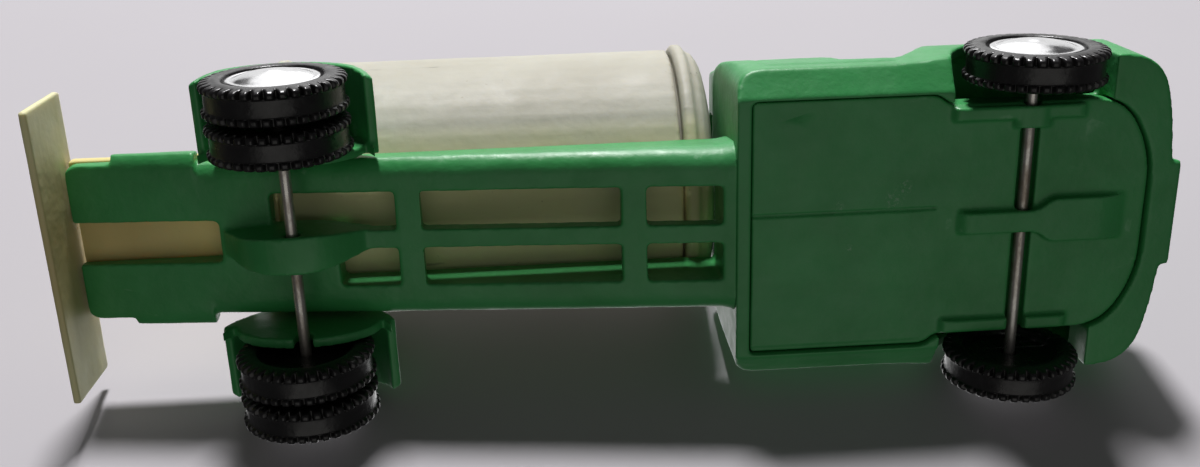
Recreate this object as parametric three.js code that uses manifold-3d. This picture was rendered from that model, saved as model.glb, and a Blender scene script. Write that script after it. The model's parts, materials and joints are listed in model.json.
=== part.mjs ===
import * as THREE from 'three';
import { mergeVertices } from 'three/addons/utils/BufferGeometryUtils.js';
import Module from 'manifold-3d';

// Toy tanker truck. Millimetres, +X forward, +Y to the truck's left, +Z up,
// standing on its wheels, origin on the ground under the middle of the object.

// ---- driving dimensions ----
const GAP = 0.3;              // clearance between pieces that touch
const WHEEL_R = 9.0;          // tyre radius over the lugs
const WHEEL_W = 4.8;          // width of one tyre
const LUG_COUNT = 36;         // tread lugs round one shoulder
const LUG_DEPTH = 0.75;       // height of a tread lug
const LUG_ROW = 1.25;         // width of one shoulder row of lugs
const BAND_DEPTH = 0.45;      // lug tops to the smooth band between the rows
const HUB_RECESS_R = 6.1;     // recess in each side of a tyre
const HUB_RECESS = 1.1;       // depth of that recess
const AXLE_R = 0.75;          // steel axle radius
const WHEELBASE = 96;         // rear axle to front axle
const DUAL_GAP = 0.6;         // space between the paired rear tyres
const TYRE_GAP = 0.2;         // mudguard's cheek to the inner rear tyre
const AXLE_Z = 9.0;           // height of both axles in the drawing of the body pieces

const FRAME_HALF = 11.4;      // half width over the frame's side rails
const FINGER_STEP = 1.5;      // how far the frame stands wider behind the rear wheels
const TIP_STEP = 0.5;         // how far the tips of the rear fingers stand narrower than the rails
const TIP_LENGTH = 6.2;       // length of those narrower tips
const RAIL_DRAFT = 1.0;       // how far each rail side leans in up to its top
const RAIL_ROUND = 3.6;       // rounding of the rails' lower outer edges
const FRAME_REAR = -30.0;     // rear end of the frame, from the rear axle
const RAIL_TOP = 18.0;        // height of the level top of the rails
const UNDER_AT_AXLE = 13.5;   // height of the frame's underside over the rear axle
const UNDER_AT_CAB = 8.18;    // height of the underside where the frame meets the cab
const RAIL_WIDTH = 4.9;       // width of a side rail
const KEEL_HALF = 1.3;        // half width of the centre rail
const KEEL_DEPTH = 2.4;       // depth of the centre rail and cross members
const BEAM = 3.4;             // length of a cross member along the truck
const SLOT_HALF = 2.9;        // half width of the slot between the rear fingers
const FINGER_R = 1.8;         // rounding of the finger ends
const BEARING_HALF = 2.6;     // half width of the centre axle bearings
const BEARING_DROP = 1.8;     // axle centre to the bearing's lowest face

const GUARD_CLEAR = 1.2;      // tyre to the top of the mudguard
const GUARD_REACH = 2.2;      // tyre to the mudguard's front and rear limbs
const GUARD_WALL = 1.3;       // thickness of the mudguard
const GUARD_FOOT = 12.6;      // height of the mudguard's two feet
const GUARD_WIDTH = 11.0;     // width of a mudguard
const CHEEK_R = 9.8;          // half length of the cheek plate beside the wheels
const CHEEK_DROP = 5.9;       // depth of the cheek plate below the rail

const TANK_R = 18.8;          // radius of the tank shell
const TANK_LOW = 17.4;        // height of the lowest line of the tank shell
const TANK_WALL = 1.6;        // wall of the tank shell
const TANK_REAR = -3.2;       // rear end of the shell, from the rear axle
const TANK_FRONT = 51.8;      // front end of the shell, from the rear axle
const BEAD_R = 0.7;           // bead round each end cap
const BEAD_W = 2.2;           // width of the end cap's rim
const DOME = 2.8;             // bulge of an end cap beyond its rim
const SPIGOT = 3.0;           // length of the end cap's spigot inside the shell
const LID_R = 4.2;            // radius of a moulded filler lid
const LID_H = 1.9;            // height of a filler lid over the tank

const DECK_T = 1.3;           // thickness of the deck plate
const DECK_STEP = 0.3;        // how far the deck plate stands narrower than the rails
const DECK_REAR = -30.0;      // rear edge of the deck
const DECK_FRONT = -8.2;      // front edge of the deck
const PANEL_T = 1.0;          // thickness of the rear panel
const PANEL_HALF = 20.0;      // half width of the rear panel
const PANEL_LOW = 8.9;        // height of the rear panel's lower edge
const PANEL_HIGH = 20.6;      // height of the rear panel's upper edge

const CAB_REAR = -38.5;       // cab's rear face, from the front axle
const CAB_FRONT = 19.4;       // cab's front face at the middle, from the front axle
const CAB_HALF = 21.3;        // half width over the sills
const FENDER_HALF = 21.9;     // half width over the front fenders
const CAB_LOW = 7.8;          // height of the cab's lower rim
const CAB_ROOF = 47.5;        // height of the roof
const CAB_WALL = 1.6;         // wall thickness of the cab shell
const CABIN_HALF = 18.9;      // half width of the cabin above the sills
const SHOULDER_HALF = 20.4;   // half width over the rear shoulders
const SHOULDER_TOP = 32.0;    // height where the rear shoulders meet the cabin
const BEVEL_HIGH = 2.6;       // height of the bevel along the lower edge of the sills
const BEVEL_WIDE = 3.4;       // width of that bevel
const ROOF_HALF = 12.8;       // half width at the roof
const BELT_Z = 27.5;          // lower edge of the side windows
const HOOD_HALF = 12.0;       // half width of the bonnet
const HOOD_TOP = 30.5;        // height of the bonnet
const ARCH_CLEAR = 1.4;       // tyre to the front wheel arch
const RIM = 1.9;              // width of the cab's rear rim
const FLOOR_HALF = 17.2;      // half width of the inset floor plate
const FLOOR_NECK = 15.9;      // its half width between the front wheels
const FLOOR_LOW = 8.5;        // height of the floor plate's underside
const FLOOR_T = 2.6;          // thickness of the floor plate
const FLOOR_FRONT = 16.4;     // front edge of the floor plate, from the front axle
const KEEL_BAR = 1.5;         // half width of the keel bar under the floor
const KEEL_BULB = 3.0;        // half width of the keel's front bulb
const NOSE_HALF = 7.4;        // half width of the raised nose piece
const NOSE_OUT = 1.3;         // how far the nose stands out
const LINE_W = 0.5;           // width of the moulded grooves of the doors and grille
const LINE_D = 0.4;           // depth of those grooves
const LAMP_R = 2.3;           // radius of a moulded headlamp
const LAMP_Y = 15.6;          // middle plane to a headlamp
const LAMP_Z = 18.6;          // height of a headlamp
const WALL_Y = 13.8;          // middle plane to the front bearing walls
const WALL_T = 1.8;           // thickness of those walls

// ---- sizes that follow from those ----
const REAR_X = -42.7;
const FRONT_X = REAR_X + WHEELBASE;
const FRAME_FRONT = WHEELBASE + CAB_REAR - GAP;
const UNDER_SLOPE = (UNDER_AT_AXLE - UNDER_AT_CAB) / FRAME_FRONT;
const RAIL_IN = FRAME_HALF - RAIL_WIDTH;
const GUARD_END = WHEEL_R + GUARD_REACH + GUARD_WALL;
const DUAL_IN = FRAME_HALF + GAP + GUARD_WALL + TYRE_GAP;
const TRACK_OUT = DUAL_IN + 2 * WHEEL_W + DUAL_GAP;
const TANK_Z = TANK_LOW + TANK_R;
const ARCH_R = WHEEL_R + ARCH_CLEAR;

const GREEN = 0x1f9a4a;
const CREAM = 0xded9bd;
const WHITE = 0xe4e1d0;
const BLACK = 0x15161a;
const SILVER = 0xc9ccd0;
const STEEL = 0xa8a49c;

const wasm = await Module();
wasm.setup();

// ---- helpers ----
const fromRear = (x) => x + REAR_X;
const fromFront = (x) => x + FRONT_X;
const underside = (x) => UNDER_AT_AXLE - UNDER_SLOPE * x;

function solid(geometry) {
  geometry.deleteAttribute('normal');
  geometry.deleteAttribute('uv');
  const g = mergeVertices(geometry, 1e-4);
  return new wasm.Manifold(new wasm.Mesh({
    numProp: 3,
    vertProperties: new Float32Array(g.attributes.position.array),
    triVerts: new Uint32Array(g.index.array),
  }));
}

function geometryOf(body) {
  const mesh = body.getMesh();
  const g = new THREE.BufferGeometry();
  g.setAttribute('position', new THREE.BufferAttribute(new Float32Array(mesh.vertProperties), 3));
  g.setIndex(new THREE.BufferAttribute(new Uint32Array(mesh.triVerts), 1));
  return g;
}

function extruded(shape, depth) {
  return new THREE.ExtrudeGeometry(shape, { depth, bevelEnabled: false, curveSegments: 8 });
}

// outline in (x, y), raised from z0 to z1
function prismZ(shape, z0, z1) {
  const g = extruded(shape, z1 - z0);
  g.translate(0, 0, z0);
  return solid(g);
}

// outline in (x, z), drawn out from y0 to y1
function prismY(shape, y0, y1) {
  const g = extruded(shape, y1 - y0);
  g.rotateX(Math.PI / 2);
  g.translate(0, y1, 0);
  return solid(g);
}

// outline in (y, z), drawn out from x0 to x1
function prismX(shape, x0, x1) {
  const g = extruded(shape, x1 - x0);
  const basis = new THREE.Matrix4().makeBasis(
    new THREE.Vector3(0, 1, 0), new THREE.Vector3(0, 0, 1), new THREE.Vector3(1, 0, 0));
  g.applyMatrix4(basis);
  g.translate(x0, 0, 0);
  return solid(g);
}

function outline(points) {
  return new THREE.Shape(points.map(([a, b]) => new THREE.Vector2(a, b)));
}

// closed outline with every corner rounded by its own radius: [a, b, radius]
function rounded(corners) {
  const shape = new THREE.Shape();
  const n = corners.length;
  corners.forEach(([a, b, r], i) => {
    const here = new THREE.Vector2(a, b);
    const before = new THREE.Vector2(...corners[(i + n - 1) % n].slice(0, 2)).sub(here);
    const after = new THREE.Vector2(...corners[(i + 1) % n].slice(0, 2)).sub(here);
    const reach = Math.min(r, 0.48 * before.length(), 0.48 * after.length());
    const start = here.clone().add(before.setLength(reach));
    const end = here.clone().add(after.setLength(reach));
    if (i === 0) shape.moveTo(start.x, start.y);
    else shape.lineTo(start.x, start.y);
    if (r > 0) shape.quadraticCurveTo(a, b, end.x, end.y);
    else shape.lineTo(a, b);
  });
  shape.closePath();
  return shape;
}

function box(x0, x1, y0, y1, z0, z1) {
  const g = new THREE.BoxGeometry(x1 - x0, y1 - y0, z1 - z0);
  g.translate((x0 + x1) / 2, (y0 + y1) / 2, (z0 + z1) / 2);
  return solid(g);
}

// round bar along Y
function rodY(r, y0, y1, x, z, sides = 24) {
  const g = new THREE.CylinderGeometry(r, r, y1 - y0, sides);
  g.translate(x, (y0 + y1) / 2, z);
  return solid(g);
}

// turned solid about an axis along Y; profile is [radius, y] and ends on the axis
function turnedY(profile, x, z, sides) {
  const g = new THREE.LatheGeometry(profile.map(([r, y]) => new THREE.Vector2(r, y)), sides);
  g.translate(x, 0, z);
  return solid(g);
}

// turned solid about the tank's middle line; profile is [radius, x]
function turnedX(profile, sides) {
  const g = new THREE.LatheGeometry(profile.map(([r, x]) => new THREE.Vector2(r, x)), sides);
  g.rotateZ(-Math.PI / 2);
  g.translate(0, 0, TANK_Z);
  return solid(g);
}

const both = (make) => make(1).add(make(-1));
const span = (side, a, b) => (side > 0 ? [a, b] : [-b, -a]);

// ---- wheels ----
function lugRow(y0, y1, x, z) {
  const points = [];
  for (let i = 0; i < LUG_COUNT; i += 1) {
    const step = (2 * Math.PI) / LUG_COUNT;
    points.push([(i - 0.2) * step, WHEEL_R], [(i + 0.2) * step, WHEEL_R]);
    points.push([(i + 0.5) * step, WHEEL_R - LUG_DEPTH]);
  }
  const shape = outline(points.map(([a, r]) => [x + r * Math.cos(a), z + r * Math.sin(a)]));
  return prismY(shape, y0, y1);
}

function tyre(side, inner, x) {
  const [y0, y1] = span(side, inner, inner + WHEEL_W);
  const z = WHEEL_R;
  let body = rodY(WHEEL_R - LUG_DEPTH - 0.1, y0, y1, x, z, 24);
  body = body.add(rodY(WHEEL_R - BAND_DEPTH, y0 + LUG_ROW - 0.1, y1 - LUG_ROW + 0.1, x, z, 36));
  body = body.add(lugRow(y0, y0 + LUG_ROW, x, z)).add(lugRow(y1 - LUG_ROW, y1, x, z));
  body = body.subtract(rodY(HUB_RECESS_R, y0 - 1, y0 + HUB_RECESS, x, z));
  body = body.subtract(rodY(HUB_RECESS_R, y1 - HUB_RECESS, y1 + 1, x, z));
  return body.subtract(rodY(AXLE_R + GAP, y0 - 1, y1 + 1, x, z, 16));
}

function hubcap(side, x) {
  const seat = TRACK_OUT - HUB_RECESS + GAP;
  const r = HUB_RECESS_R - GAP;
  const profile = [[0, seat], [r, seat], [r, seat + 0.5], [r * 0.86, seat + 0.55]];
  profile.push([r * 0.7, seat + 1.0], [r * 0.38, seat + 1.35], [0, seat + 1.45]);
  const cap = turnedY(profile, x, WHEEL_R, 24);
  return side > 0 ? cap : cap.mirror([0, 1, 0]);
}

function axle(x) {
  const end = TRACK_OUT - HUB_RECESS - 0.1;
  return rodY(AXLE_R, -end, end, x, WHEEL_R, 16);
}

// ---- frame ----
// space taken by the tank, its end caps and the clearance round them
function tankSpace() {
  const r = TANK_R + GAP;
  const bead = TANK_R + BEAD_R + GAP;
  const rear = fromRear(TANK_REAR);
  const front = fromRear(TANK_FRONT);
  return turnedX([
    [0, rear - 7], [bead, rear - 7], [bead, rear], [r, rear],
    [r, front], [bead, front], [bead, front + 7], [0, front + 7],
  ], 48);
}
const tankClear = tankSpace();

// bar with leaning sides and rounded lower edges that follow the falling underside
function railStock(half, x0, x1) {
  const level = outline([
    [-half, 0], [half, 0], [half, 11], [half - RAIL_DRAFT, RAIL_TOP],
    [-half + RAIL_DRAFT, RAIL_TOP], [-half, 11],
  ]);
  const under = rounded([
    [-half, 0, RAIL_ROUND], [half, 0, RAIL_ROUND], [half, 40, 0], [-half, 40, 0],
  ]);
  const pitch = THREE.MathUtils.radToDeg(Math.atan(UNDER_SLOPE));
  const low = prismX(under, x0 - 5, x1 + 5).rotate([0, pitch, 0]);
  return prismX(level, fromRear(x0), fromRear(x1)).intersect(low.translate([REAR_X, 0, UNDER_AT_AXLE]));
}

function frameWindow(a, b, side) {
  const [y0, y1] = span(side, KEEL_HALF, RAIL_IN);
  const shape = rounded([
    [fromRear(a), y0, 0.5], [fromRear(b), y0, 0.3], [fromRear(b), y1, 0.3], [fromRear(a), y1, 0.5],
  ]);
  return prismZ(shape, 0, 30);
}

function frame() {
  const rear = fromRear(FRAME_REAR);
  const front = fromRear(FRAME_FRONT);
  const tip = rear + TIP_LENGTH;
  const narrow = FRAME_HALF - TIP_STEP;
  const wide = FRAME_HALF + FINGER_STEP;
  const plan = rounded([
    [rear, -narrow, FINGER_R], [tip, -narrow, 0.3], [tip, -wide, 0.6],
    [front, -wide, 0], [front, wide, 0], [tip, wide, 0.6],
    [tip, narrow, 0.3], [rear, narrow, FINGER_R],
  ]);
  const step = -GUARD_END - GAP;
  let body = railStock(wide, FRAME_REAR, step).add(railStock(FRAME_HALF, step - 0.8, FRAME_FRONT));
  body = body.intersect(prismZ(plan, 0, 30));
  const beams = [12.9, 39.1 + BEAM];
  for (const side of [1, -1]) {
    body = body.subtract(frameWindow(side > 0 ? 5.0 : -3.4, beams[0], side));
    body = body.subtract(frameWindow(beams[0] + BEAM, beams[1], side));
    body = body.subtract(frameWindow(beams[1] + BEAM, FRAME_FRONT - 1.4, side));
  }
  const slot = rounded([
    [rear - 4, -SLOT_HALF, 0.5], [fromRear(-10.6), -SLOT_HALF, 0.8],
    [fromRear(-10.6), SLOT_HALF, 0.8], [rear - 4, SLOT_HALF, 0.5],
  ]);
  body = body.subtract(prismZ(slot, 0, 30));
  const open = FRAME_FRONT - 1.4;
  const over = outline([
    [fromRear(6), underside(6) + KEEL_DEPTH], [fromRear(open), underside(open) + KEEL_DEPTH],
    [fromRear(open), 30], [fromRear(6), 30],
  ]);
  body = body.subtract(prismY(over, -RAIL_IN, RAIL_IN));
  const drop = AXLE_Z - BEARING_DROP;
  const lump = rounded([
    [fromRear(-10.5), AXLE_Z + 6, 0.5], [fromRear(-5.4), drop, 5.0],
    [fromRear(3.6), drop, 5.0], [fromRear(9.5), AXLE_Z + 4.4, 0.5], [fromRear(9.5), AXLE_Z + 6, 0],
  ]);
  const h = BEARING_HALF;
  const lens = rounded([
    [fromRear(-10.5), -1.6, 1], [fromRear(-3.5), -h, 4], [fromRear(3), -h, 4], [fromRear(10), -KEEL_HALF, 1],
    [fromRear(10), KEEL_HALF, 1], [fromRear(3), h, 4], [fromRear(-3.5), h, 4], [fromRear(-10.5), 1.6, 1],
  ]);
  body = body.add(prismY(lump, -h - 1, h + 1).intersect(prismZ(lens, 0, 30)));
  body = body.subtract(rodY(AXLE_R + GAP, -h - 1.5, h + 1.5, REAR_X, AXLE_Z, 16));
  return body.subtract(tankClear);
}

function mudguard(side) {
  const inner = FRAME_HALF + GAP;
  const [y0, y1] = span(side, inner, inner + GUARD_WIDTH);
  const a = WHEEL_R + GUARD_REACH;
  const b = WHEEL_R + GUARD_CLEAR;
  const foot = Math.asin((GUARD_FOOT - AXLE_Z) / b);
  const arch = new THREE.Shape();
  const centre = [REAR_X, AXLE_Z];
  arch.absellipse(...centre, a + GUARD_WALL, b + GUARD_WALL, foot, Math.PI - foot, false);
  arch.absellipse(...centre, a, b, Math.PI - foot, foot, true);
  arch.closePath();
  const cheek = new THREE.Shape();
  cheek.absellipse(...centre, a + 0.4, b + 0.4, foot * 0.4, Math.PI - foot * 0.4, false);
  cheek.absellipse(REAR_X, underside(0), CHEEK_R, CHEEK_DROP, Math.PI, 2 * Math.PI, false);
  cheek.closePath();
  const [c0, c1] = span(side, inner, inner + GUARD_WALL);
  const reach = GUARD_END + 1;
  const out = side > 0 ? y1 : y0;
  const back = side > 0 ? y0 : y1;
  const plan = rounded([
    [REAR_X - reach, back - side, 0], [REAR_X + reach, back - side, 0],
    [REAR_X + reach, out, 5.8], [REAR_X - reach, out, 5.8],
  ]);
  let body = prismY(arch, y0, y1).intersect(prismZ(plan, 0, 30)).add(prismY(cheek, c0, c1));
  const w = AXLE_R + GAP + 0.15;
  body = body.subtract(box(REAR_X - w, REAR_X + w, c0 - 1, c1 + 1, 0, AXLE_Z));
  body = body.subtract(rodY(w, c0 - 1, c1 + 1, REAR_X, AXLE_Z, 16));
  return body.subtract(tankClear);
}

// ---- tank ----
function tankShell() {
  const a = fromRear(TANK_REAR);
  const b = fromRear(TANK_FRONT);
  let body = turnedX([[0, a], [TANK_R, a], [TANK_R, b], [0, b]], 48);
  for (const t of [0.27, 0.73]) {
    const g = new THREE.CylinderGeometry(LID_R, LID_R * 1.12, LID_H + 1.5, 24);
    g.rotateX(Math.PI / 2);
    g.translate(a + (b - a) * t, 0, TANK_Z + TANK_R + LID_H / 2 - 0.75);
    body = body.add(solid(g));
  }
  const r = TANK_R - TANK_WALL;
  return body.subtract(turnedX([[0, a - 1], [r, a - 1], [r, b + 1], [0, b + 1]], 48));
}

function tankCap(end) {
  const face = fromRear(end > 0 ? TANK_FRONT : TANK_REAR) + end * GAP;
  const at = (d) => face + end * d;
  const r = TANK_R - TANK_WALL - GAP;
  const inside = r - TANK_WALL;
  const profile = [
    [0, at(BEAD_W + DOME)], [TANK_R * 0.5, at(BEAD_W + DOME * 0.96)],
    [TANK_R * 0.78, at(BEAD_W + DOME * 0.84)], [TANK_R * 0.91, at(BEAD_W + DOME * 0.62)],
    [TANK_R * 0.97, at(BEAD_W + DOME * 0.33)],
    [TANK_R - 0.2, at(BEAD_W - 0.1)], [TANK_R + BEAD_R, at(BEAD_W - 0.5)],
    [TANK_R + BEAD_R, at(0.5)], [TANK_R, at(0)],
    [r, at(0)], [r, at(-SPIGOT)], [inside, at(-SPIGOT)], [inside, at(0.4)], [0, at(BEAD_W)],
  ];
  if (end > 0) profile.reverse();
  return turnedX(profile, 48);
}

function deck() {
  const low = RAIL_TOP + GAP;
  const half = FRAME_HALF - DECK_STEP;
  const plan = rounded([
    [fromRear(DECK_REAR), -half, 0.6], [fromRear(DECK_FRONT), -half, 0.6],
    [fromRear(DECK_FRONT), half, 0.6], [fromRear(DECK_REAR), half, 0.6],
  ]);
  return prismZ(plan, low, low + DECK_T);
}

function rearPanel() {
  const x1 = fromRear(FRAME_REAR) - GAP;
  const shape = rounded([
    [-PANEL_HALF, PANEL_LOW, 0.5], [PANEL_HALF, PANEL_LOW, 0.5],
    [PANEL_HALF, PANEL_HIGH, 0.5], [-PANEL_HALF, PANEL_HIGH, 0.5],
  ]);
  return prismX(shape, x1 - PANEL_T, x1);
}

// ---- cab ----
// filled cab shape, shrunk by t on every side
function cabForm(t) {
  const low = t > 0 ? CAB_LOW - 2 : CAB_LOW;
  const rear = fromFront(CAB_REAR) + t;
  const nose = fromFront(CAB_FRONT) - t;
  const corner = Math.max(3.4 - t, 0.5);
  const fender = FENDER_HALF - t;
  const sill = CAB_HALF - t;
  const plan = (half, cut) => rounded([
    [rear, -sill, corner], [fromFront(-16), -sill, 2], [fromFront(-10), -half, 2],
    [nose - 2.6, -half, 6], [nose - cut, -10.5, 6], [nose - cut, 10.5, 6],
    [nose - 2.6, half, 6], [fromFront(-10), half, 2], [fromFront(-16), sill, 2], [rear, sill, corner],
  ]);
  const trim = prismZ(plan(fender, 0), 0, 60);
  let body = prismZ(plan(fender, 0), low, 15 - t);
  const cabin = rounded([
    [rear, low, 0.3], [fromFront(-12) - t, low, 0.3], [fromFront(-12) - t, HOOD_TOP - t, 2],
    [fromFront(-16.5) - t, CAB_ROOF - 1.5 - t, 4], [rear + 1.5, CAB_ROOF - t, 5],
  ]);
  const section = rounded([
    [-CABIN_HALF + t, low, 0.3], [CABIN_HALF - t, low, 0.3],
    [CABIN_HALF - t, 22, 5], [CABIN_HALF - 0.6 - t, 28, 5],
    [ROOF_HALF - t, CAB_ROOF - t, 6], [-ROOF_HALF + t, CAB_ROOF - t, 6],
    [-CABIN_HALF + 0.6 + t, 28, 5], [-CABIN_HALF + t, 22, 5],
  ]);
  body = body.add(prismY(cabin, -25, 25).intersect(prismX(section, rear - 5, nose + 5)));
  const shoulderSide = rounded([
    [rear, low, 0.3], [fromFront(-22) - t, low, 0.3], [fromFront(-24) - t, 23, 7],
    [fromFront(-31) - t, SHOULDER_TOP - t, 7], [rear, SHOULDER_TOP - t, 2],
  ]);
  const half = SHOULDER_HALF - t;
  const shoulder = rounded([
    [-half - 0.8, low, 0.3], [half + 0.8, low, 0.3], [half + 0.7, 15.5, 3], [half - 0.2, 22, 4],
    [half - 1.9, 27.5, 3], [half - 5.2, SHOULDER_TOP - t, 4], [-half + 5.2, SHOULDER_TOP - t, 4],
    [-half + 1.9, 27.5, 3], [-half + 0.2, 22, 4], [-half - 0.7, 15.5, 3],
  ]);
  body = body.add(prismY(shoulderSide, -25, 25).intersect(prismX(shoulder, rear - 5, nose + 5)));
  const hoodSide = rounded([
    [fromFront(-14), low, 0.3], [nose, low, 0.3], [nose - 0.6, HOOD_TOP - 3.5 - t, 7],
    [fromFront(-14), HOOD_TOP - t, 0.3],
  ]);
  const hoodSection = rounded([
    [-HOOD_HALF + t, low, 0.3], [HOOD_HALF - t, low, 0.3],
    [HOOD_HALF - 1 - t, HOOD_TOP - t, 5], [-HOOD_HALF + 1 + t, HOOD_TOP - t, 5],
  ]);
  body = body.add(prismY(hoodSide, -25, 25).intersect(prismX(hoodSection, rear, nose + 5)));
  const wing = rounded([
    [fromFront(-22) + t, low, 0.3], [nose, low, 0.3], [nose - 0.8, 19 - t, 6],
    [fromFront(8), 24.4 - t, 7], [fromFront(-7), 24.4 - t, 7], [fromFront(-16) + t, 15, 7],
  ]);
  const wingSection = rounded([
    [-fender, low, 0.3], [fender, low, 0.3], [fender, 20, 3], [fender - 3.5, 25.4 - t, 4],
    [-fender + 3.5, 25.4 - t, 4], [-fender, 20, 3],
  ]);
  body = body.add(prismY(wing, -25, 25).intersect(prismX(wingSection, rear, nose + 5)));
  return body.intersect(trim);
}

function floorPlan(grow) {
  const rear = fromFront(CAB_REAR + RIM) + GAP - grow;
  const front = fromFront(FLOOR_FRONT) + grow;
  const half = FLOOR_HALF + grow;
  const neck = FLOOR_NECK + grow;
  const step = FRONT_X - ARCH_R - 2;
  return rounded([
    [rear, -half, 0.6], [step, -half, 1], [step + 1.5, -neck, 1], [front - 4.2, -neck, 5],
    [front, -8.5, 6], [front, 8.5, 6], [front - 4.2, neck, 5], [step + 1.5, neck, 1],
    [step, half, 1], [rear, half, 0.6],
  ]);
}

function cabBody() {
  let body = cabForm(0);
  const ledge = FLOOR_LOW + FLOOR_T + GAP;
  const hollow = cabForm(CAB_WALL).subtract(box(-20, 100, -40, 40, 0, ledge + 1.2));
  body = body.subtract(hollow);
  body = body.subtract(prismZ(floorPlan(-1.4), 0, ledge + 2));
  body = body.subtract(prismZ(floorPlan(GAP), 0, ledge));
  body = body.subtract(both((s) => rodY(ARCH_R, ...span(s, FLOOR_NECK, 30), FRONT_X, AXLE_Z, 36)));
  const mouth = (s) => box(FRONT_X - ARCH_R, FRONT_X + ARCH_R, ...span(s, FLOOR_NECK, 30), 0, AXLE_Z);
  body = body.subtract(both(mouth));
  const inner = CAB_HALF - BEVEL_WIDE;
  const rise = BEVEL_HIGH / BEVEL_WIDE;
  const bevel = (s) => prismX(outline([
    [s * inner, CAB_LOW - 1], [s * 30, CAB_LOW - 1], [s * 30, CAB_LOW + rise * (30 - inner)],
    [s * inner, CAB_LOW],
  ]), fromFront(CAB_REAR) - 1, FRONT_X);
  body = body.subtract(both(bevel));
  const noseFace = fromFront(CAB_FRONT);
  const nose = rounded([
    [-NOSE_HALF, CAB_LOW, 0.4], [NOSE_HALF, CAB_LOW, 0.4], [NOSE_HALF - 1.5, 22, 3],
    [-NOSE_HALF + 1.5, 22, 3],
  ]);
  body = body.add(prismX(nose, noseFace - 1.4, noseFace + NOSE_OUT));
  const sideWindow = rounded([
    [fromFront(-33.5), BELT_Z, 1.5], [fromFront(-15.4), BELT_Z + 3.2, 1.5],
    [fromFront(-18.8), CAB_ROOF - 6, 2], [fromFront(-32.5), CAB_ROOF - 6, 2],
  ]);
  body = body.subtract(prismY(sideWindow, -30, 30));
  const screen = rounded([
    [-13.6, HOOD_TOP + 2.5, 1.5], [13.6, HOOD_TOP + 2.5, 1.5],
    [11.3, CAB_ROOF - 5.5, 2], [-11.3, CAB_ROOF - 5.5, 2],
  ]);
  body = body.subtract(prismX(screen, fromFront(-24), fromFront(-6)));
  const back = rounded([[-8, 34, 1.5], [8, 34, 1.5], [8, 42, 1.5], [-8, 42, 1.5]]);
  body = body.subtract(prismX(back, fromFront(CAB_REAR) - 2, fromFront(CAB_REAR) + 4));
  return body.subtract(doorLines()).subtract(grille()).add(headlamps());
}

// shallow grooves round each door
function doorLines() {
  const skin = cabForm(-1).subtract(cabForm(LINE_D));
  const frontLine = fromFront(-17);
  const rearLine = fromFront(-34);
  const upright = (x) => box(x, x + LINE_W, -30, 30, 12.5, BELT_Z - 0.6);
  const level = box(rearLine, frontLine + LINE_W, -30, 30, 12.5, 12.5 + LINE_W);
  const handle = box(rearLine + 1.6, rearLine + 4.4, -30, 30, 23.2, 23.2 + LINE_W);
  return upright(frontLine).add(upright(rearLine)).add(level).add(handle).intersect(skin);
}

// upright slots in the nose
function grille() {
  const face = fromFront(CAB_FRONT) + NOSE_OUT;
  const slots = [-2, -1, 0, 1, 2].map((i) => box(
    face - LINE_D, face + 1, i * 2.1 - LINE_W, i * 2.1 + LINE_W, 10.6, 19.4));
  return slots.reduce((a, b) => a.add(b));
}

function headlamps() {
  const face = fromFront(CAB_FRONT) - 3.4;
  const make = (s) => {
    const g = new THREE.SphereGeometry(LAMP_R, 18, 9);
    g.scale(1.5, 1, 1);
    g.translate(face, s * LAMP_Y, LAMP_Z);
    return solid(g);
  };
  return both(make).subtract(cabForm(0.8));
}

function cabFloor() {
  let body = prismZ(floorPlan(0), FLOOR_LOW, FLOOR_LOW + FLOOR_T);
  const low = AXLE_Z - BEARING_DROP;
  const groove = AXLE_R + GAP + 0.2;
  const roof = AXLE_Z + AXLE_R + GAP;
  const channel = (s) => box(FRONT_X - groove, FRONT_X + groove, ...span(s, KEEL_BAR, 20), 0, roof);
  const wall = rounded([
    [FRONT_X - 11, FLOOR_LOW + 0.5, 0.3], [FRONT_X - 10, CAB_LOW - 0.3, 0.6],
    [FRONT_X + 6.5, CAB_LOW - 0.3, 0.6], [FRONT_X + 7.5, FLOOR_LOW + 0.5, 0.3],
  ]);
  body = body.add(both((s) => prismY(wall, ...span(s, WALL_Y, WALL_Y + WALL_T))));
  body = body.subtract(both(channel));
  const keelSide = rounded([
    [FRONT_X - 9.6, FLOOR_LOW + 0.5, 0.3], [FRONT_X - 8, low, 1], [FRONT_X + 11, low, 3],
    [FRONT_X + 14.6, FLOOR_LOW + 0.5, 0.3],
  ]);
  const keelPlan = rounded([
    [FRONT_X - 10, -KEEL_BAR, 1.4], [FRONT_X + 1.6, -KEEL_BAR, 1], [FRONT_X + 3.4, -KEEL_BULB, 1.5],
    [FRONT_X + 16, -KEEL_BULB, 3], [FRONT_X + 16, KEEL_BULB, 3], [FRONT_X + 3.4, KEEL_BULB, 1.5],
    [FRONT_X + 1.6, KEEL_BAR, 1], [FRONT_X - 10, KEEL_BAR, 1.4],
  ]);
  body = body.add(prismY(keelSide, -5, 5).intersect(prismZ(keelPlan, 0, 20)));
  body = body.subtract(rodY(AXLE_R + GAP, -5, 5, FRONT_X, AXLE_Z, 16));
  const boss = rounded([
    [FRONT_X - 3.0, FLOOR_LOW + 0.5, 0.3], [FRONT_X - 1.8, low, 1],
    [FRONT_X + 1.8, low, 1], [FRONT_X + 3.0, FLOOR_LOW + 0.5, 0.3],
  ]);
  body = body.add(prismY(boss, -WALL_Y - WALL_T, -WALL_Y + 1.2));
  body = body.subtract(rodY(AXLE_R + GAP, -20, -10, FRONT_X, AXLE_Z, 16));
  const seam = box(fromFront(-46), FRONT_X - 11, -2.2, -1.9, FLOOR_LOW - 1, FLOOR_LOW + 0.3);
  return body.subtract(seam);
}

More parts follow.
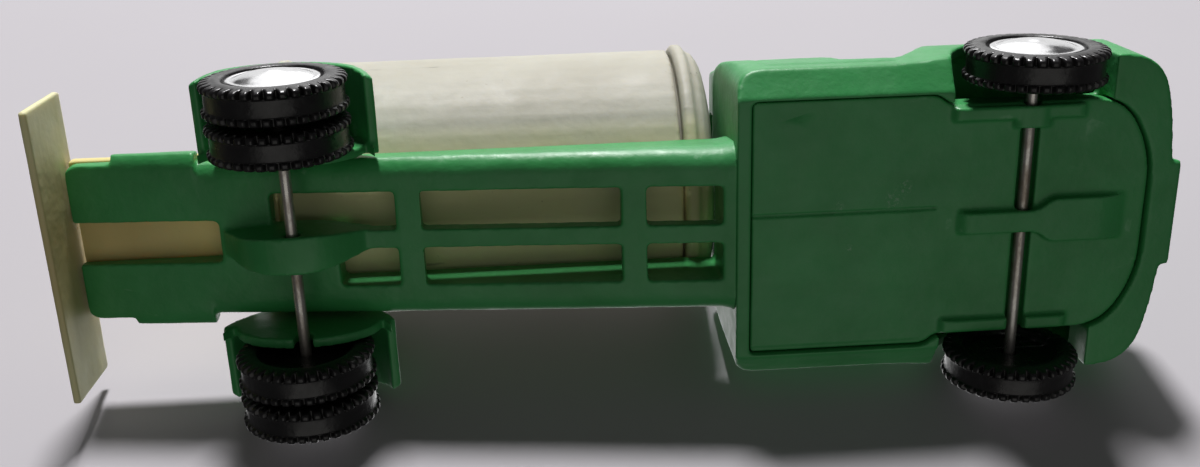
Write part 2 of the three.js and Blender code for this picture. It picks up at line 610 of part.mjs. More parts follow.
// ---- assembly ----
const materials = {
  green: new THREE.MeshStandardMaterial({ color: GREEN, roughness: 0.38, metalness: 0 }),
  cream: new THREE.MeshStandardMaterial({ color: CREAM, roughness: 0.45, metalness: 0 }),
  white: new THREE.MeshStandardMaterial({ color: WHITE, roughness: 0.45, metalness: 0 }),
  black: new THREE.MeshStandardMaterial({ color: BLACK, roughness: 0.4, metalness: 0 }),
  silver: new THREE.MeshStandardMaterial({ color: SILVER, roughness: 0.25, metalness: 0.9 }),
  steel: new THREE.MeshStandardMaterial({ color: STEEL, roughness: 0.35, metalness: 0.9 }),
};

const truck = new THREE.Group();
truck.name = 'toy_tanker_truck';

// the body pieces are drawn over axles at AXLE_Z and ride at the height that the wheels give
function place(name, body, material) {
  const rides = ['green', 'cream', 'white'].includes(material);
  const set = rides ? body.translate([0, 0, WHEEL_R - AXLE_Z]) : body;
  const mesh = new THREE.Mesh(geometryOf(set), materials[material]);
  mesh.name = name;
  truck.add(mesh);
}

place('cab_body', cabBody(), 'green');
place('cab_floor', cabFloor(), 'green');
place('chassis_frame', frame(), 'green');
place('mudguard_left', mudguard(1), 'green');
place('mudguard_right', mudguard(-1), 'green');
place('tank_shell', tankShell(), 'cream');
place('tank_cap_front', tankCap(1), 'cream');
place('tank_cap_rear', tankCap(-1), 'cream');
place('tank_deck', deck(), 'cream');
place('rear_panel', rearPanel(), 'white');
place('front_axle', axle(FRONT_X), 'steel');
place('rear_axle', axle(REAR_X), 'steel');

const outer = TRACK_OUT - WHEEL_W;
for (const [word, side] of [['left', 1], ['right', -1]]) {
  place(`front_tyre_${word}`, tyre(side, outer, FRONT_X), 'black');
  place(`rear_outer_tyre_${word}`, tyre(side, outer, REAR_X), 'black');
  place(`rear_inner_tyre_${word}`, tyre(side, DUAL_IN, REAR_X), 'black');
  place(`front_hubcap_${word}`, hubcap(side, FRONT_X), 'silver');
  place(`rear_hubcap_${word}`, hubcap(side, REAR_X), 'silver');
}

export default truck;
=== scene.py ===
import json
import math

import bmesh
import bpy
import numpy as np
from mathutils import Matrix, Vector, noise


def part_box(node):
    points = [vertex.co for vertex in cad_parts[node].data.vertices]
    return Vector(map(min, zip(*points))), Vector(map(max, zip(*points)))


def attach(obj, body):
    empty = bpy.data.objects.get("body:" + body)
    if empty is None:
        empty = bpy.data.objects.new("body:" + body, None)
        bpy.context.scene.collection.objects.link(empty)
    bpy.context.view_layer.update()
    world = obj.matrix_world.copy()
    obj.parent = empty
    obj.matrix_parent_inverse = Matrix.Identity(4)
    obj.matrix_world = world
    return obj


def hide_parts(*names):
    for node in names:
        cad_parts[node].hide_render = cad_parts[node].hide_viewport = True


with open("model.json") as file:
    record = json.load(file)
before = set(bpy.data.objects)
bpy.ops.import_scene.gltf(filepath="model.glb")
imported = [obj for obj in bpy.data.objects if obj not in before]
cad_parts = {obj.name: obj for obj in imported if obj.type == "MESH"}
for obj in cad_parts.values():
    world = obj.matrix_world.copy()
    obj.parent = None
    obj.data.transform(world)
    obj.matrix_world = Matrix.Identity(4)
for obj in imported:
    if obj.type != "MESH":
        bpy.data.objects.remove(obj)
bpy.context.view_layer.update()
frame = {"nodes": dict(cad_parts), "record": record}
NODES = frame["nodes"]
MM = 0.001


# ---- materials ----
class Nodes:
    """Short ways to make and join shader nodes in one material."""

    def __init__(self, name):
        self.material = bpy.data.materials.new(name)
        self.material.use_nodes = True
        self.tree = self.material.node_tree
        self.tree.nodes.clear()
        self.out = self.tree.nodes.new("ShaderNodeOutputMaterial")
        self.coord = self.tree.nodes.new("ShaderNodeTexCoord").outputs["Object"]

    def link(self, source, target):
        self.tree.links.new(source, target)

    def put(self, node, socket, value):
        if isinstance(value, bpy.types.NodeSocket):
            self.link(value, node.inputs[socket])
        else:
            node.inputs[socket].default_value = value

    def math(self, kind, a, b, clamp=False):
        n = self.tree.nodes.new("ShaderNodeMath")
        n.operation = kind
        n.use_clamp = clamp
        self.put(n, 0, a)
        self.put(n, 1, b)
        return n.outputs[0]

    def times(self, a, b):
        return self.math("MULTIPLY", a, b)

    def axis(self, name):
        """One coordinate of the row frame, in metres."""
        n = self.tree.nodes.new("ShaderNodeSeparateXYZ")
        self.link(self.coord, n.inputs[0])
        return n.outputs[name]

    def scaled(self, scale, offset=(0, 0, 0)):
        """The row frame's coordinates stretched, so that a noise runs in streaks."""
        n = self.tree.nodes.new("ShaderNodeMapping")
        self.link(self.coord, n.inputs["Vector"])
        n.inputs["Scale"].default_value = scale
        n.inputs["Location"].default_value = offset
        return n.outputs[0]

    def noise(self, scale, detail=3.0, rough=0.5, vector=None, distort=0.0):
        n = self.tree.nodes.new("ShaderNodeTexNoise")
        self.link(vector or self.coord, n.inputs["Vector"])
        n.inputs["Scale"].default_value = scale
        n.inputs["Detail"].default_value = detail
        n.inputs["Roughness"].default_value = rough
        n.inputs["Distortion"].default_value = distort
        return n.outputs["Fac"]

    def between(self, value, low, high, out_low=0.0, out_high=1.0):
        """Maps low..high to out_low..out_high and stops at both ends."""
        n = self.tree.nodes.new("ShaderNodeMapRange")
        self.link(value, n.inputs["Value"])
        n.inputs["From Min"].default_value = low
        n.inputs["From Max"].default_value = high
        n.inputs["To Min"].default_value = out_low
        n.inputs["To Max"].default_value = out_high
        return n.outputs[0]

    def mix(self, amount, a, b):
        n = self.tree.nodes.new("ShaderNodeMix")
        n.data_type = "RGBA"
        self.put(n, 0, amount)
        for socket, value in ((6, a), (7, b)):
            colour = (*value, 1) if isinstance(value, tuple) else value
            self.put(n, socket, colour)
        return n.outputs[2]

    def edges(self, low, high):
        """Outer edges when high is over 0.5, and hollows when it is under."""
        n = self.tree.nodes.new("ShaderNodeNewGeometry")
        return self.between(n.outputs["Pointiness"], low, high)

    def spot(self, centre, radius, soft):
        """1 inside a ball in the row frame, falling to 0 outside it."""
        n = self.tree.nodes.new("ShaderNodeVectorMath")
        n.operation = "DISTANCE"
        self.link(self.coord, n.inputs[0])
        n.inputs[1].default_value = centre
        return self.between(n.outputs["Value"], radius + soft, radius)

    def bump(self, parts):
        """Stacks (height, strength, distance) into one normal."""
        last = None
        for height, strength, distance in parts:
            n = self.tree.nodes.new("ShaderNodeBump")
            self.link(height, n.inputs["Height"])
            n.inputs["Strength"].default_value = strength
            n.inputs["Distance"].default_value = distance
            if last is not None:
                self.link(last, n.inputs["Normal"])
            last = n.outputs["Normal"]
        return last

    def surface(self, colour, rough, normal, **fixed):
        n = self.tree.nodes.new("ShaderNodeBsdfPrincipled")
        self.put(n, "Base Color", colour)
        self.put(n, "Roughness", rough)
        self.link(normal, n.inputs["Normal"])
        for name, value in fixed.items():
            n.inputs[name.replace("_", " ")].default_value = value
        self.link(n.outputs[0], self.out.inputs["Surface"])
        return self.material


# small scuffs on the cab's floor: centre and radius in metres
SCUFFS = [
    ((0.0372, -0.0052, 0.0085), 0.0006), ((0.0357, -0.0036, 0.0085), 0.0008),
    ((0.0284, -0.0030, 0.0085), 0.0004), ((0.0300, 0.0028, 0.0085), 0.0003),
]
# an ochre tint low on the cream pieces, and a darker tan patch on the rear panel by the frame
OCHRE_NONE_ABOVE, OCHRE_FULL_BELOW = 0.0225, 0.0185
FOOT, FOOT_RADIUS, FOOT_SOFT = (-0.0735, 0, 0.0165), 0.008, 0.009
# the axle is dirty near the middle and clean by the wheels, by distance from the centre line
AXLE_CLEAN, AXLE_DIRTY = 0.0125, 0.0095


def green_plastic():
    """Waxy green plastic with soft clouds, flow lines, painted shade with a little soiling in hollows and
    a few scratches.
    """
    deep, bright, flowing = (0.034, 0.27, 0.070), (0.050, 0.345, 0.098), (0.070, 0.36, 0.135)
    rubbed, grime_and_shade, scratched = (0.22, 0.50, 0.27), (0.022, 0.055, 0.022), (0.33, 0.52, 0.36)
    k = Nodes("green_plastic")
    cloud = k.noise(95, 4, 0.55)
    flow = k.noise(60, 3, 0.6, k.scaled((0.35, 1.6, 1.6)), 0.6)
    colour = k.mix(k.between(cloud, 0.3, 0.7), deep, bright)
    colour = k.mix(k.between(flow, 0.5, 0.8, 0, 0.35), colour, flowing)
    worn = k.times(k.edges(0.515, 0.60), k.between(k.noise(260, 4, 0.7), 0.42, 0.62))
    colour = k.mix(k.times(worn, 0.45), colour, rubbed)
    # darker green in the hollows: painted shade, with a little soiling
    grime_and_shade_mask = k.times(k.edges(0.49, 0.42), k.between(k.noise(150, 4, 0.7), 0.35, 0.6))
    colour = k.mix(k.times(grime_and_shade_mask, 0.65), colour, grime_and_shade)
    scratch = k.noise(620, 5, 0.65, k.scaled((0.25, 1, 1), (0.3, 0, 0)), 0.5)
    scuffed = k.times(k.between(scratch, 0.66, 0.72), k.between(k.noise(60, 2), 0.54, 0.66))
    scuffed = k.times(scuffed, 0.45)
    marks = 0.0
    for centre, radius in SCUFFS:
        marks = k.math("MAXIMUM", marks, k.spot(centre, radius, radius))
    marks = k.times(marks, k.between(k.noise(2100, 4, 0.75), 0.50, 0.62))
    scuffed = k.math("MAXIMUM", scuffed, marks)
    colour = k.mix(k.times(scuffed, 0.5), colour, scratched)
    rough = k.between(k.noise(240, 4, 0.6), 0.3, 0.7, 0.36, 0.50)
    rough = k.math("ADD", rough, k.times(scuffed, 0.18), clamp=True)
    normal = k.bump([
        (cloud, 0.35, 0.0009), (k.noise(520, 3, 0.6), 0.30, 0.00022),
        (k.noise(2600, 2, 0.5), 0.16, 0.00006), (scratch, 0.12, 0.00012),
    ])
    return k.surface(
        colour, rough, normal, Subsurface_Weight=0.12, Subsurface_Radius=(0.3, 1.0, 0.4),
        Subsurface_Scale=0.0012, IOR=1.5,
    )


def cream_plastic(name, pale, dull, streak_amount, along=(0.05, 1, 1)):
    """Pale plastic, more ochre low down, with fine dark lines that run the way that along is small."""
    ochre, tan, brown = (0.80, 0.76, 0.37), (0.58, 0.45, 0.17), (0.22, 0.15, 0.06)
    ink, speck = (0.09, 0.085, 0.07), (0.25, 0.19, 0.10)
    k = Nodes(name)
    cloud = k.noise(70, 4, 0.6)
    colour = k.mix(k.between(cloud, 0.3, 0.72), pale, dull)
    # more ochre towards the bottom
    low = k.between(k.axis("Z"), OCHRE_NONE_ABOVE, OCHRE_FULL_BELOW)
    low = k.times(low, k.between(cloud, 0.2, 0.5, 0.6, 1.0))
    colour = k.mix(k.times(low, 0.75), colour, ochre)
    # a darker tan patch on the rear panel by the frame
    foot = k.spot(FOOT, FOOT_RADIUS, FOOT_SOFT)
    colour = k.mix(k.times(foot, 0.6), colour, tan)
    # brown in the hollows: painted shade, with some soiling
    hollow_soil_and_shade = k.times(k.edges(0.49, 0.44), k.between(k.noise(120, 3), 0.3, 0.6))
    colour = k.mix(k.times(hollow_soil_and_shade, 0.5), colour, brown)
    line = k.noise(620, 4, 0.6, k.scaled(along, (0.11, 0.4, 0.2)), 0.15)
    lines = k.times(k.between(line, 0.645, 0.675), k.between(k.noise(70, 3, 0.6), 0.50, 0.58))
    colour = k.mix(k.times(lines, streak_amount), colour, ink)
    specks = k.between(k.noise(1300, 2, 0.5), 0.74, 0.78)
    colour = k.mix(k.times(specks, 0.35), colour, speck)
    rough = k.between(k.noise(210, 4, 0.6), 0.3, 0.7, 0.52, 0.66)
    normal = k.bump([
        (cloud, 0.30, 0.0010), (k.noise(420, 3, 0.6), 0.22, 0.00022), (line, 0.12, 0.00015),
    ])
    return k.surface(
        colour, rough, normal, Subsurface_Weight=0.22, Subsurface_Radius=(1.0, 0.8, 0.5),
        Subsurface_Scale=0.0016, IOR=1.49,
    )


def black_plastic():
    """Glossy black plastic with a little dust in hollows and grey on worn edges."""
    black, soft_black = (0.0055, 0.0050, 0.0055), (0.012, 0.0110, 0.0122)
    dusty, grey = (0.05, 0.046, 0.040), (0.04, 0.038, 0.04)
    k = Nodes("black_plastic")
    cloud = k.noise(160, 4, 0.6)
    colour = k.mix(k.between(cloud, 0.35, 0.7), black, soft_black)
    dust = k.times(k.edges(0.50, 0.44), k.between(k.noise(400, 4, 0.7), 0.45, 0.65))
    colour = k.mix(k.times(dust, 0.22), colour, dusty)
    worn = k.times(k.edges(0.53, 0.62), k.between(k.noise(350, 3, 0.6), 0.45, 0.65))
    colour = k.mix(k.times(worn, 0.3), colour, grey)
    rough = k.between(k.noise(500, 4, 0.6), 0.3, 0.7, 0.22, 0.44)
    normal = k.bump([(k.noise(700, 3, 0.6), 0.35, 0.00025), (k.noise(3000, 2), 0.15, 0.00005)])
    return k.surface(colour, rough, normal, IOR=1.52)


def silver_plating():
    """Bright plating, tarnished in its hollows."""
    bright, dull, tarnished = (0.95, 0.95, 0.96), (0.86, 0.86, 0.87), (0.16, 0.15, 0.14)
    k = Nodes("silver_plating")
    cloud = k.noise(300, 4, 0.6)
    colour = k.mix(k.between(cloud, 0.35, 0.7), bright, dull)
    tarnish = k.times(k.edges(0.49, 0.43), k.between(k.noise(900, 4, 0.7), 0.42, 0.62))
    colour = k.mix(k.times(tarnish, 0.45), colour, tarnished)
    rough = k.between(k.noise(700, 4, 0.65), 0.35, 0.7, 0.14, 0.26)
    normal = k.bump([(k.noise(400, 3, 0.6), 0.12, 0.00010), (k.noise(4200, 2), 0.06, 0.00002)])
    return k.surface(colour, rough, normal, Metallic=1.0)


def axle_steel():
    """Drawn wire, stained and brown near the middle."""
    clean, stained, brown = (0.62, 0.60, 0.56), (0.42, 0.39, 0.35), (0.22, 0.15, 0.09)
    k = Nodes("axle_steel")
    side = k.math("ABSOLUTE", k.axis("Y"), 0)
    stain = k.noise(380, 5, 0.7, k.scaled((1, 0.45, 1)))
    dirty = k.times(k.between(side, AXLE_CLEAN, AXLE_DIRTY), k.between(stain, 0.38, 0.60))
    colour = k.mix(k.between(stain, 0.4, 0.62), clean, stained)
    colour = k.mix(k.times(dirty, 0.5), colour, brown)
    rough = k.between(stain, 0.35, 0.65, 0.26, 0.55)
    ring = k.noise(900, 3, 0.6, k.scaled((0.2, 3.0, 0.2)))
    normal = k.bump([(ring, 0.25, 0.00008), (stain, 0.30, 0.00012)])
    return k.surface(colour, rough, normal, Metallic=0.85)


GREEN = green_plastic()
CREAM = cream_plastic("cream_plastic", (0.50, 0.49, 0.41), (0.43, 0.415, 0.335), 0.9)
YELLOWED = cream_plastic("yellowed_plastic", (0.88, 0.70, 0.20), (0.78, 0.60, 0.14), 0.5)
WHITE = cream_plastic("white_plastic", (0.74, 0.72, 0.62), (0.66, 0.63, 0.50), 0.3, (1, 0.05, 1))
BLACK = black_plastic()
SILVER = silver_plating()
STEEL = axle_steel()


# ---- building ----
def placed(name, mesh, material, body, slot, *nodes):
    """One finished piece that rides on a body and stands for CAD nodes."""
    o = bpy.data.objects.new(name, mesh)
    bpy.context.scene.collection.objects.link(o)
    mesh.materials.clear()
    mesh.materials.append(material)
    mesh.shade_smooth()
    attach(o, body)
    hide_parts(*nodes)


def evaluated(obj):
    """The object's mesh with its modifiers applied."""
    bpy.context.view_layer.update()
    graph = bpy.context.evaluated_depsgraph_get()
    mesh = bpy.data.meshes.new_from_object(obj.evaluated_get(graph), depsgraph=graph)
    bpy.data.objects.remove(obj)
    return mesh


def points(mesh, what="co"):
    """Every vertex's place, or its normal, as rows of three."""
    values = np.zeros(len(mesh.vertices) * 3, np.float32)
    mesh.vertices.foreach_get(what, values)
    return values.reshape(-1, 3)


def set_points(mesh, co):
    mesh.vertices.foreach_set("co", co.astype(np.float32).ravel())
    mesh.update()


def moulded(node, voxel, passes, keep, waviness, shaped, seed):
    """A CAD solid remade as a soft moulding in metres: even faces, rounded edges, slightly uneven walls.

    voxel and waviness are in mm, passes rounds the edges, and keep is the share of faces that stay.
    """
    mesh = NODES[node].data.copy()
    mesh.transform(Matrix.Scale(1000, 4))
    o = bpy.data.objects.new("raw_" + node, mesh)
    bpy.context.scene.collection.objects.link(o)
    remesh = o.modifiers.new("remesh", "REMESH")
    remesh.mode = "VOXEL"
    remesh.voxel_size = voxel
    smooth = o.modifiers.new("smooth", "SMOOTH")
    smooth.factor = 0.5
    smooth.iterations = passes
    thin = o.modifiers.new("thin", "DECIMATE")
    thin.ratio = keep
    soft = evaluated(o)
    if shaped is not None:
        set_points(soft, shaped(points(soft)))
    uneven(soft, waviness, seed)
    return soft


SWELL = 4.5          # mm from one soft swell of a wall to the next
SWELL_GAIN = 1.6     # how soon a swell reaches its full depth


def uneven(mesh, amount, seed):
    """Pushes each point in by up to amount mm, in soft swells, and turns the mesh into metres."""
    co = points(mesh)
    offset = Vector((seed * 3.7, seed * 1.3, seed * 5.1))
    swell = np.array([noise.noise(Vector(p) / SWELL + offset) for p in co.tolist()], np.float32)
    depth = -amount * (0.5 + 0.5 * np.clip(swell * SWELL_GAIN, -1, 1))
    set_points(mesh, (co + points(mesh, "normal") * depth[:, None]) * MM)


def lathe(profile, steps, at, radius_of=None, mirror=1.0):
    """Turns (radius, along) about a line along Y through at, all in mm.

    radius_of(i, angle, radius) may change a ring's radius, and mirror -1 turns the profile the other way.
    """
    bm = bmesh.new()
    rings = []
    for i, (r, y) in enumerate(profile):
        if r == 0:
            rings.append([bm.verts.new(spun(0, 0, y, at, mirror))])
            continue
        ring = []
        for s in range(steps):
            a = 2 * math.pi * s / steps
            rr = radius_of(i, a, r) if radius_of else r
            ring.append(bm.verts.new(spun(rr, a, y, at, mirror)))
        rings.append(ring)
    for a, b in zip(rings, rings[1:]):
        for s in range(steps):
            t = (s + 1) % steps
            if len(a) == 1:
                bm.faces.new((a[0], b[s], b[t]))
            elif len(b) == 1:
                bm.faces.new((a[s], b[0], a[t]))
            else:
                bm.faces.new((a[s], b[s], b[t], a[t]))
    if len(rings[0]) > 1 and len(rings[-1]) > 1:
        for s in range(steps):
            t = (s + 1) % steps
            bm.faces.new((rings[-1][s], rings[0][s], rings[0][t], rings[-1][t]))
    bmesh.ops.recalc_face_normals(bm, faces=bm.faces)
    mesh = bpy.data.meshes.new("turned")
    bm.to_mesh(mesh)
    bm.free()
    return mesh


def spun(r, a, y, at, mirror):
    """A lathe point in metres."""
    return Vector((at[0] + r * math.cos(a), at[1] + mirror * y, at[2] + r * math.sin(a))) * MM


def softened(corners, steps):
    """A closed profile of (radius, along, cut), each corner made a short curve that starts cut away."""
    out = []
    for i, (radius, along, cut) in enumerate(corners):
        p = np.array((radius, along), float)
        before = np.array(corners[i - 1][:2], float) - p
        after = np.array(corners[(i + 1) % len(corners)][:2], float) - p
        d = min(cut, 0.45 * np.linalg.norm(before), 0.45 * np.linalg.norm(after))
        a = p + before / np.linalg.norm(before) * d
        b = p + after / np.linalg.norm(after) * d
        for s in range(steps + 1):
            t = s / steps
            out.append(tuple((1 - t) ** 2 * a + 2 * t * (1 - t) * p + t * t * b))
    return out


# ---- wheels, in mm ----
LUGS = 36             # lugs in each of a tyre's two rows
STEPS_A_LUG = 9       # faces round the tyre for each lug
LUG_DEPTH = 1.0
LUG_ROW = 1.25        # how far a row of lugs reaches in from the side
LUG_FOOT = 1.75       # how far down the side wall the notches run
LUG_TOP = 0.50        # share of half a pitch that stays at full height
LUG_SLOPE = 0.36      # share of half a pitch that the lug's flank takes
LUG_CROWN = 0.07      # how much a lug's top falls off to its ends
CROWN_REACH = 0.4     # the crown is cut this far down from the tread
BAND_DEPTH = 0.45     # the smooth band between the rows lies this far down
HOLE_R, RECESS_R, RECESS_DEPTH = 1.06, 6.1, 1.1
HUBCAP_STEPS, AXLE_STEPS = 96, 40
AXLE_RINGS = 60
AXLE_BEVEL = 0.2
AXLE_WAVE = 0.012     # how far the wire's surface wanders in


def measured(node):
    """A round CAD node's low and high corners and its radius, in mm."""
    lo, hi = (v * 1000 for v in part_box(node))
    return lo, hi, (hi.z - lo.z) / 2


def tyre(node, body):
    """A tyre with a recess for the hubcap, two rows of staggered lugs and a smooth band between them."""
    lo, hi, r = measured(node)
    width = hi.y - lo.y
    side = [
        (HOLE_R, RECESS_DEPTH, 0.1), (RECESS_R - 0.5, RECESS_DEPTH, 0.25),
        (RECESS_R, RECESS_DEPTH - 0.5, 0.2), (RECESS_R + 0.12, 0.12, 0.25),
        (r - 2.1, 0.0, 0.3), (r - 1.6, 0.05, 0.2), (r - 0.35, 0.24, 0.25),
    ]
    tread = [
        (r, 0.55, 0.2), (r, 1.12, 0.15),
        (r - BAND_DEPTH, 1.30, 0.12), (r - BAND_DEPTH, 1.9, 0.1),
    ]
    half = side + tread
    other = [(radius, width - along, cut) for radius, along, cut in reversed(half)]
    profile = softened(half + other, steps=2)
    pitch = 2 * math.pi / LUGS
    phase = (len(node) * 7 % 10) / 10 * pitch  # so that the tyres aren't all turned alike

    def lugged(i, angle, radius):
        y = profile[i][1]
        across = abs(y - width / 2)
        if radius < r - LUG_FOOT or across < width / 2 - LUG_ROW:
            return radius
        stagger = 0 if y < width / 2 else 0.5
        turn = (angle + phase) / pitch + stagger
        off_lug = abs((turn % 1) - 0.5) * 2  # 0 at a lug's middle and 1 at a notch's
        notch = np.clip((off_lug - LUG_TOP) / LUG_SLOPE, 0, 1)
        notch = notch * notch * (3 - 2 * notch)
        floor = min(radius, r - LUG_DEPTH)
        crown = LUG_CROWN * off_lug * off_lug * (radius > r - CROWN_REACH)
        return radius + (floor - radius) * float(notch) - crown

    at = ((lo.x + hi.x) / 2, lo.y, (lo.z + hi.z) / 2)
    mesh = lathe(profile, LUGS * STEPS_A_LUG, at, radius_of=lugged)
    placed(node + "_moulded", mesh, BLACK, body, "black_plastic", node)


def hubcap(node, body):
    """A bright cap with a beaded rim, a low dome and a small boss, its dome outward."""
    lo, hi, r = measured(node)
    left = hi.y > 0
    seat = lo.y if left else hi.y
    height = 1.45
    profile = [
        (0, 0), (r - 0.05, 0), (r, 0.10), (r, 0.42), (r - 0.10, 0.52), (r * 0.94, 0.56), (r * 0.91, 0.53),
        (r * 0.885, 0.50), (r * 0.86, 0.53), (r * 0.80, 0.66), (r * 0.72, 0.82), (r * 0.62, 0.98),
        (r * 0.50, 1.12), (r * 0.38, 1.22), (r * 0.27, 1.29), (r * 0.20, 1.33), (r * 0.14, 1.39),
        (r * 0.08, 1.435), (r * 0.03, height), (0, height),
    ]
    stretch = (hi.y - lo.y) / height
    profile = [(radius, along * stretch) for radius, along in profile]
    at = ((lo.x + hi.x) / 2, seat, (lo.z + hi.z) / 2)
    mesh = lathe(profile, HUBCAP_STEPS, at, mirror=1.0 if left else -1.0)
    placed(node + "_plated", mesh, SILVER, body, "silver_plating", node)


def axle(node, body):
    """A steel wire with bevelled ends and a slightly uneven surface."""
    lo, hi, r = measured(node)
    middle = (lo.x + hi.x) / 2
    length = hi.y - lo.y
    profile = [(0, 0), (r - AXLE_BEVEL, 0), (r, AXLE_BEVEL)]
    for i in range(1, AXLE_RINGS):
        y = length * i / AXLE_RINGS
        wave = 0.5 + 0.5 * noise.noise(Vector((y * 0.9, middle, 0)))
        profile.append((r - AXLE_WAVE * wave, y))
    profile += [(r, length - AXLE_BEVEL), (r - AXLE_BEVEL, length), (0, length)]
    mesh = lathe(profile, AXLE_STEPS, (middle, lo.y, (lo.z + hi.z) / 2))
    placed(node + "_wire", mesh, STEEL, body, "axle_steel", node)


for body, members in frame["record"]["behaviour"]["bodies"].items():
    for member in members:
        if "_tyre_" in member:
            tyre(member, body)
        elif "_hubcap_" in member:
            hubcap(member, body)
        elif member.endswith("_axle"):
            axle(member, body)

# ---- body, in mm ----
BODY = "truck_body"
FRAME_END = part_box("chassis_frame")[1].x * 1000
REACH = 0.42          # the frame is drawn this far forward, to meet the cab
REACH_BACK, REACH_RISE = 0.9, 0.5  # which starts this far back from its end
FLARE_LENGTH = 1.6    # the frame's end swells over this length
FLARE_SIDE, FLARE_DOWN = 0.55, 0.25
RAIL_FROM_Y, RAIL_RISE = 8, 3      # only the side rails swell sideways
RAIL_FOOT_Z, RAIL_FOOT_RISE = 10, 1.5

FLOOR_FACE = 8.5      # height of the floor plate's underside
FLOOR_MIDDLE = sum(v.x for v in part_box("cab_floor")) * 500
FLOOR_LONGER, FLOOR_WIDER = 1.006, 1.009   # closes the plate on the cab
SEAM_Y, SEAM_WIDTH, SEAM_DEPTH = -2.05, 0.16, 0.34
SEAM_FRONT_X, SEAM_SKIN = 41.5, 0.35       # only the underside's skin carries the seam
STEP_Y, STEP_WIDTH, STEP_HEIGHT = -1.95, 0.12, 0.12
STEP_LEFT_Y, STEP_FADE = 16.5, 3


def ramp(values, start, length):
    """0 before start, rising to 1 over length."""
    return np.clip((values - start) / length, 0, 1)


def joined_to_cab(co):
    """Draws the frame's front end up to the cab's rear face."""
    out = co.copy()
    out[:, 0] += REACH * ramp(co[:, 0], FRAME_END - REACH_BACK, REACH_RISE)
    flare = ramp(co[:, 0], FRAME_END - FLARE_LENGTH, FLARE_LENGTH) ** 2
    rail = ramp(abs(co[:, 1]), RAIL_FROM_Y, RAIL_RISE)
    foot = ramp(-co[:, 2], -RAIL_FOOT_Z, RAIL_FOOT_RISE)
    out[:, 1] += np.sign(co[:, 1]) * FLARE_SIDE * flare * rail
    out[:, 2] -= FLARE_DOWN * flare * foot
    return out


def floor_seam(co):
    """A fine seam along the floor plate, its left half standing a little prouder."""
    out = co.copy()
    lower = (co[:, 2] < FLOOR_FACE + SEAM_SKIN) & (co[:, 0] < SEAM_FRONT_X)
    seam = np.exp(-((co[:, 1] - SEAM_Y) / SEAM_WIDTH) ** 2) * lower
    left = ramp(co[:, 1], STEP_Y, STEP_WIDTH) * lower * ramp(-co[:, 0], -SEAM_FRONT_X, STEP_FADE)
    out[:, 2] += SEAM_DEPTH * seam - STEP_HEIGHT * left * (co[:, 1] < STEP_LEFT_Y)
    out[:, 1] *= FLOOR_WIDER
    out[:, 0] = FLOOR_MIDDLE + (co[:, 0] - FLOOR_MIDDLE) * FLOOR_LONGER
    return out


# node, voxel size, rounding passes, share of faces kept, waviness, material, slot
MOULDED = [
    ("cab_body", 0.26, 13, 0.28, 0.05, GREEN, "green_plastic"),
    ("cab_floor", 0.22, 7, 0.45, 0.03, GREEN, "green_plastic"),
    ("chassis_frame", 0.24, 5, 0.5, 0.06, GREEN, "green_plastic"),
    ("mudguard_left", 0.26, 8, 0.6, 0.05, GREEN, "green_plastic"),
    ("mudguard_right", 0.26, 8, 0.6, 0.05, GREEN, "green_plastic"),
    ("tank_deck", 0.30, 2, 0.6, 0.04, YELLOWED, "cream_plastic"),
    ("rear_panel", 0.26, 2, 0.8, 0.04, WHITE, "white_plastic"),
    ("tank_shell", 0.42, 3, 0.6, 0.04, CREAM, "cream_plastic"),
    ("tank_cap_front", 0.32, 4, 0.5, 0.04, CREAM, "cream_plastic"),
    ("tank_cap_rear", 0.32, 4, 0.5, 0.04, CREAM, "cream_plastic"),
]
SHAPED = {"chassis_frame": joined_to_cab, "cab_floor": floor_seam}
for i, (node, voxel, passes, keep, waviness, material, slot) in enumerate(MOULDED):
    mesh = moulded(node, voxel, passes, keep, waviness, SHAPED.get(node), i)
    placed(node + "_moulded", mesh, material, BODY, slot, node)


# ---- stage, in metres ----
STAGE_SIZE = 6.0
TILT = math.radians(14)     # the photograph's table leans this far from upright
TABLE_TOUCH_Y, TABLE_TOUCH_Z = 0.0236, 0.018
GATE_Z = -0.12


def stage_plane(name, centre, normal, colour, only_below=False):
    """A pale plane that shows from its front only.

    With only_below it also stays clear until a ray has passed another clear plane, so the table
    shows only to a camera below the floor, which looks up through the floor or the gate.
    """
    bpy.ops.mesh.primitive_plane_add(size=STAGE_SIZE)
    o = bpy.context.object
    o.name = name
    o.rotation_mode = "QUATERNION"
    o.rotation_quaternion = Vector(normal).to_track_quat("Z", "Y")
    o.location = centre
    k = Nodes(name)
    grain = k.noise(9, 3, 0.5)
    tone = k.mix(k.between(grain, 0.3, 0.7), tuple(c * 0.97 for c in colour), colour)
    matt = k.tree.nodes.new("ShaderNodeBsdfDiffuse")
    k.link(tone, matt.inputs["Color"])
    clear = k.tree.nodes.new("ShaderNodeBsdfTransparent")
    geometry = k.tree.nodes.new("ShaderNodeNewGeometry")
    hidden = geometry.outputs["Backfacing"]
    if only_below:
        path = k.tree.nodes.new("ShaderNodeLightPath")
        above = k.math("LESS_THAN", path.outputs["Transparent Depth"], 0.5)
        hidden = k.math("MAXIMUM", hidden, above)
    pick = k.tree.nodes.new("ShaderNodeMixShader")
    k.link(hidden, pick.inputs[0])
    k.link(matt.outputs[0], pick.inputs[1])
    k.link(clear.outputs[0], pick.inputs[2])
    k.link(pick.outputs[0], k.out.inputs["Surface"])
    o.data.materials.append(k.material)
    for ray in ("diffuse", "glossy", "transmission", "volume_scatter", "shadow"):
        setattr(o, "visible_" + ray, False)


stage_plane("floor", (0, 0, 0), (0, 0, 1), (0.64, 0.63, 0.64))
stage_plane(
    "table", (0, TABLE_TOUCH_Y + TABLE_TOUCH_Z * math.tan(TILT), 0),
    (0, -math.cos(TILT), -math.sin(TILT)), (0.50, 0.485, 0.505), only_below=True,
)
stage_plane("gate", (0, 0, GATE_Z), (0, 0, 1), (0.5, 0.5, 0.5))


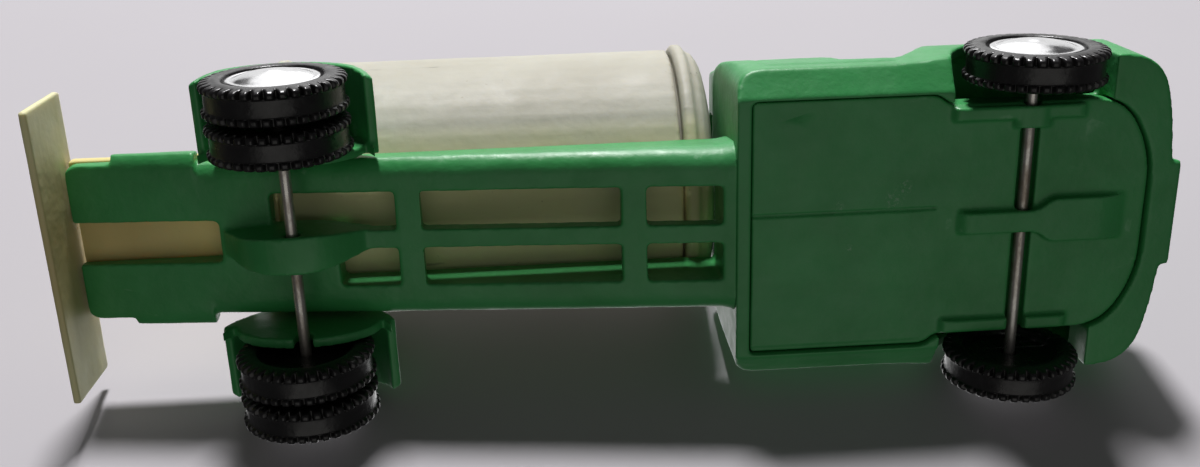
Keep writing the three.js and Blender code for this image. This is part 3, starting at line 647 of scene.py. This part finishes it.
def lamp(name, at, target, size, energy, colour=(1, 1, 1)):
    """A round lamp at one point, turned to another."""
    data = bpy.data.lights.new(name, "AREA")
    data.shape = "DISK"
    data.size = size
    data.energy = energy
    data.color = colour
    o = bpy.data.objects.new(name, data)
    bpy.context.scene.collection.objects.link(o)
    o.location = at
    o.rotation_mode = "QUATERNION"
    o.rotation_quaternion = (Vector(target) - Vector(at)).to_track_quat("-Z", "Y")


lamp("key", (-0.02, -1.0, 0.26), (0, 0, 0.02), 0.16, 13.0, (1.0, 0.985, 1.0))
lamp("sky", (0.04, -0.75, 0.85), (0, 0, 0.02), 1.0, 2.4)
lamp("top", (0.10, 0.05, 0.95), (0, 0, 0.03), 1.5, 4.0)
lamp("left", (-0.05, 0.60, 0.90), (0, 0, 0.03), 1.3, 2.8)
lamp("under", (0.05, 0.26, -0.85), (0, 0, 0.02), 1.1, 1.25, (1.0, 0.98, 0.93))

world = bpy.data.worlds.new("studio")
world.use_nodes = True
bpy.context.scene.world = world
background = world.node_tree.nodes["Background"]
background.inputs["Color"].default_value = (0.80, 0.79, 0.80, 1)
background.inputs["Strength"].default_value = 0.072
bpy.context.scene.view_settings.view_transform = "Standard"

# ---- camera ----
# Fitted to the photograph about the rear axle: a rotation vector, and a shift in the fit's own units.
FIT_TURN = Vector((0.342, -0.064, -0.038))
FIT_SHIFT = Vector((-37.2, 5.051, 137.474))
FIT_TO_MM = 9 / 8.25        # the tyre's radius here over the one in the fit
REAR_AXLE_X = -42.7

camera_data = bpy.data.cameras.new("camera")
camera = bpy.data.objects.new("camera", camera_data)
bpy.context.scene.collection.objects.link(camera)
camera_data.sensor_width = 36
camera_data.lens = 36.7827
camera_data.shift_x = -0.010785
camera_data.shift_y = 0.0001
camera_data.clip_start = 0.005
camera_data.clip_end = 20
turned = Matrix.Rotation(FIT_TURN.length, 3, FIT_TURN.normalized())
eye = -(turned.transposed() @ (FIT_SHIFT * FIT_TO_MM))
eye = Vector((eye.x + REAR_AXLE_X, eye.y, eye.z)) * MM
right, down, ahead = turned[0], turned[1], turned[2]
camera.matrix_world = Matrix((
    (right[0], -down[0], -ahead[0], eye.x),
    (right[1], -down[1], -ahead[1], eye.y),
    (right[2], -down[2], -ahead[2], eye.z),
    (0, 0, 0, 1),
))
bpy.context.scene.camera = camera
